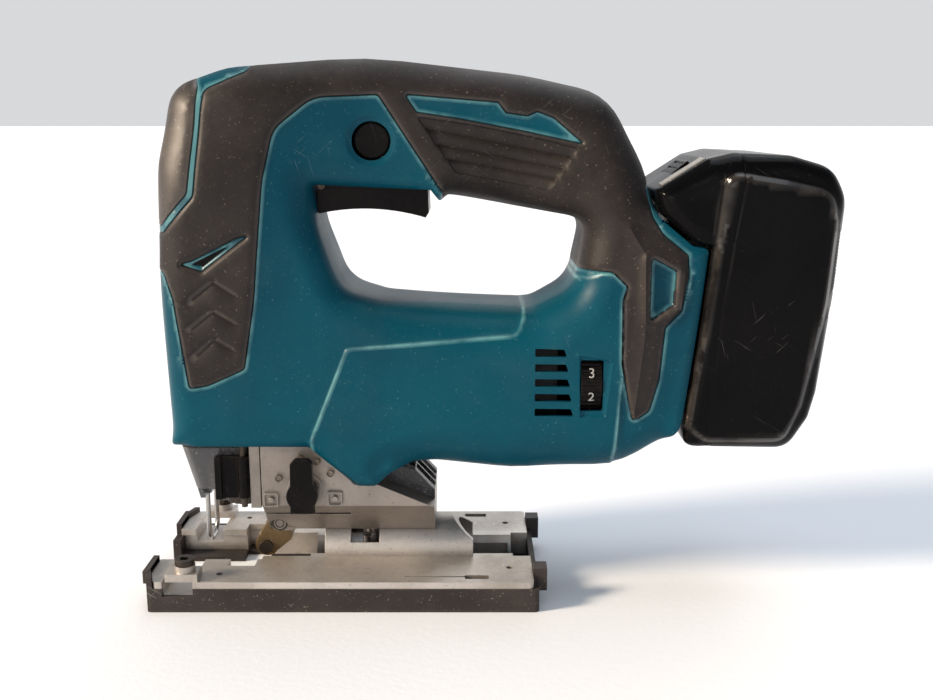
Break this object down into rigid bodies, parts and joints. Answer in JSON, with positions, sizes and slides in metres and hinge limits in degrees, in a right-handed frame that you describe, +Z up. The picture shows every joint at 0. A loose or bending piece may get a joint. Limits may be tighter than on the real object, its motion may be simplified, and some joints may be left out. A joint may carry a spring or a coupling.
{
  "type": "jigsaw power tool",
  "caption": "Cordless jigsaw with a D-handle, tilting slotted base, orbital lever, scotch-yoke blade drive and a slide-on battery pack.",
  "frame": {"origin": "on the sole, at the middle of the overall length and width", "axes": "+X to the rear (battery), -X to the blade, +Z up, -Y is the tool's left side, with the orbit lever and the speed dial"},
  "size_m": [0.266, 0.077, 0.2106],
  "materials": {
    "teal_nylon": "moulded, satin",
    "grip_rubber": "matte elastomer",
    "cast_aluminium": "die-cast, satin",
    "base_aluminium": "die-cast, satin",
    "cover_plastic": "worn black",
    "smoke_plastic": "clear smoke",
    "steel": "ground",
    "dark_steel": "black oxide",
    "brass": "turned",
    "bronze": "sintered",
    "copper": "enamelled",
    "stator_steel": "laminated",
    "black_plastic": "satin",
    "board_green": "lacquered",
    "controller_case": "bare",
    "contact_metal": "plated",
    "battery_black": "gloss",
    "gauge_grey": "printed film",
    "cell_wrap": "shrink sleeve",
    "lamp_clear": "clear"
  },
  "bodies": {
    "housing": {"housing_left": "teal_nylon", "housing_right": "teal_nylon", "grip_left": "grip_rubber", "grip_right": "grip_rubber", "front_pad": "grip_rubber", "gear_housing": "cast_aluminium", "gear_housing_front": "cast_aluminium", "gear_housing_screws": "dark_steel", "housing_screws": "dark_steel", "dust_cover": "smoke_plastic", "wire_guard": "steel", "rear_baffle": "smoke_plastic", "motor_stator": "stator_steel", "stator_coils": "copper", "motor_bearings": "steel", "gear_axle": "steel", "plunger_bushes": "bronze", "retainer_pin": "steel", "switch_unit": "black_plastic", "dial_potentiometer": "black_plastic", "controller": "controller_case", "terminal_block": "black_plastic", "terminal_blades": "contact_metal", "led_light": "lamp_clear", "pivot_pins": "steel", "trigger_spring": "steel", "base_bolt": "steel"},
    "rotor": {"rotor_shaft": "steel", "rotor_core": "dark_steel", "fan": "black_plastic", "pinion": "steel"},
    "gear": {"drive_gear": "steel", "gear_bearing": "steel", "crank_pin": "steel"},
    "plunger": {"plunger": "steel"},
    "clamp": {"blade_clamp": "dark_steel"},
    "counterweight": {"counterweight": "steel"},
    "orbit": {"orbit_lever": "black_plastic", "orbit_shaft": "steel"},
    "yoke": {"roller_yoke": "dark_steel", "roller_pin": "steel"},
    "roller": {"roller": "brass"},
    "opener": {"tool_opener": "black_plastic"},
    "trigger": {"trigger": "black_plastic"},
    "lock_off": {"lock_off_button": "black_plastic"},
    "dial": {"speed_dial": "black_plastic"},
    "tilt": {"clamp_plate": "steel"},
    "base": {"base_plate": "base_aluminium", "base_cover": "cover_plastic", "guide_screws": "dark_steel"},
    "battery": {"battery_case_lower": "battery_black", "battery_case_upper": "battery_black", "battery_cells": "cell_wrap", "cell_holder": "black_plastic", "cell_straps": "contact_metal", "battery_board": "board_green", "battery_terminals": "contact_metal", "battery_screws": "dark_steel", "gauge_panel": "gauge_grey"},
    "latch": {"battery_latch": "black_plastic"}
  },
  "joints": [
    {"name": "rotor_spin", "type": "hinge", "parent": "housing", "child": "rotor", "pos_m": [-0.03, 0, 0.083], "axis": [1, 0, 0], "continuous": true},
    {"name": "gear_spin", "type": "hinge", "parent": "housing", "child": "gear", "pos_m": [-0.08, 0, 0.1073], "axis": [1, 0, 0], "continuous": true},
    {"name": "plunger_slide", "type": "slide", "parent": "housing", "child": "plunger", "axis": [0, 0, 1], "range_m": [-0.013, 0.013]},
    {"name": "counterweight_slide", "type": "slide", "parent": "housing", "child": "counterweight", "axis": [0, 0, 1], "range_m": [-0.007, 0.007]},
    {"name": "clamp_turn", "type": "hinge", "parent": "plunger", "child": "clamp", "pos_m": [-0.098, 0, 0.04], "axis": [0, 0, 1], "range_deg": [0, 35]},
    {"name": "opener_swing", "type": "hinge", "parent": "housing", "child": "opener", "pos_m": [-0.0936, -0.0232, 0.05], "axis": [0, 0, 1], "range_deg": [0, 70]},
    {"name": "orbit_lever_turn", "type": "hinge", "parent": "housing", "child": "orbit", "pos_m": [-0.0693, -0.03, 0.0456], "axis": [0, 1, 0], "range_deg": [-54, 54]},
    {"name": "roller_support_swing", "type": "hinge", "parent": "housing", "child": "yoke", "pos_m": [-0.0825, 0, 0.0256], "axis": [0, 1, 0], "range_deg": [-3, 4]},
    {"name": "roller_spin", "type": "hinge", "parent": "yoke", "child": "roller", "pos_m": [-0.0893, 0, 0.0138], "axis": [0, 1, 0], "continuous": true},
    {"name": "trigger_press", "type": "hinge", "parent": "housing", "child": "trigger", "pos_m": [-0.061, 0, 0.1635], "axis": [0, -1, 0], "range_deg": [0, 6], "stiffness_Nm_per_rad": 1.2, "springref_deg": -14.32, "deforming": ["trigger_spring"]},
    {"name": "lock_off_slide", "type": "slide", "parent": "housing", "child": "lock_off", "axis": [0, 1, 0], "range_m": [-0.0035, 0]},
    {"name": "speed_dial_turn", "type": "hinge", "parent": "housing", "child": "dial", "pos_m": [0.0416, -0.0202, 0.0896], "axis": [1, 0, 0], "range_deg": [0, 280]},
    {"name": "base_tilt", "type": "hinge", "parent": "housing", "child": "tilt", "pos_m": [-0.045, 0, 0.0137], "axis": [1, 0, 0], "range_deg": [-45, 45]},
    {"name": "base_slide", "type": "slide", "parent": "tilt", "child": "base", "axis": [1, 0, 0], "range_m": [0, 0.005]},
    {"name": "battery_slide", "type": "slide", "parent": "housing", "child": "battery", "axis": [0.1097, 0, 0.994], "range_m": [0, 0.11]},
    {"name": "battery_latch_press", "type": "slide", "parent": "battery", "child": "latch", "axis": [0.6342, 0, -0.7732], "range_m": [0, 0.0025], "stiffness_N_per_m": 1500, "springref_m": -0.002}
  ],
  "couplings": [
    {"joint": "gear_spin", "follows": "rotor_spin", "ratio": -0.2},
    {"joint": "counterweight_slide", "follows": "plunger_slide", "ratio": -0.53846},
    {"joint": "clamp_turn", "follows": "opener_swing", "ratio": 0.5}
  ]
}
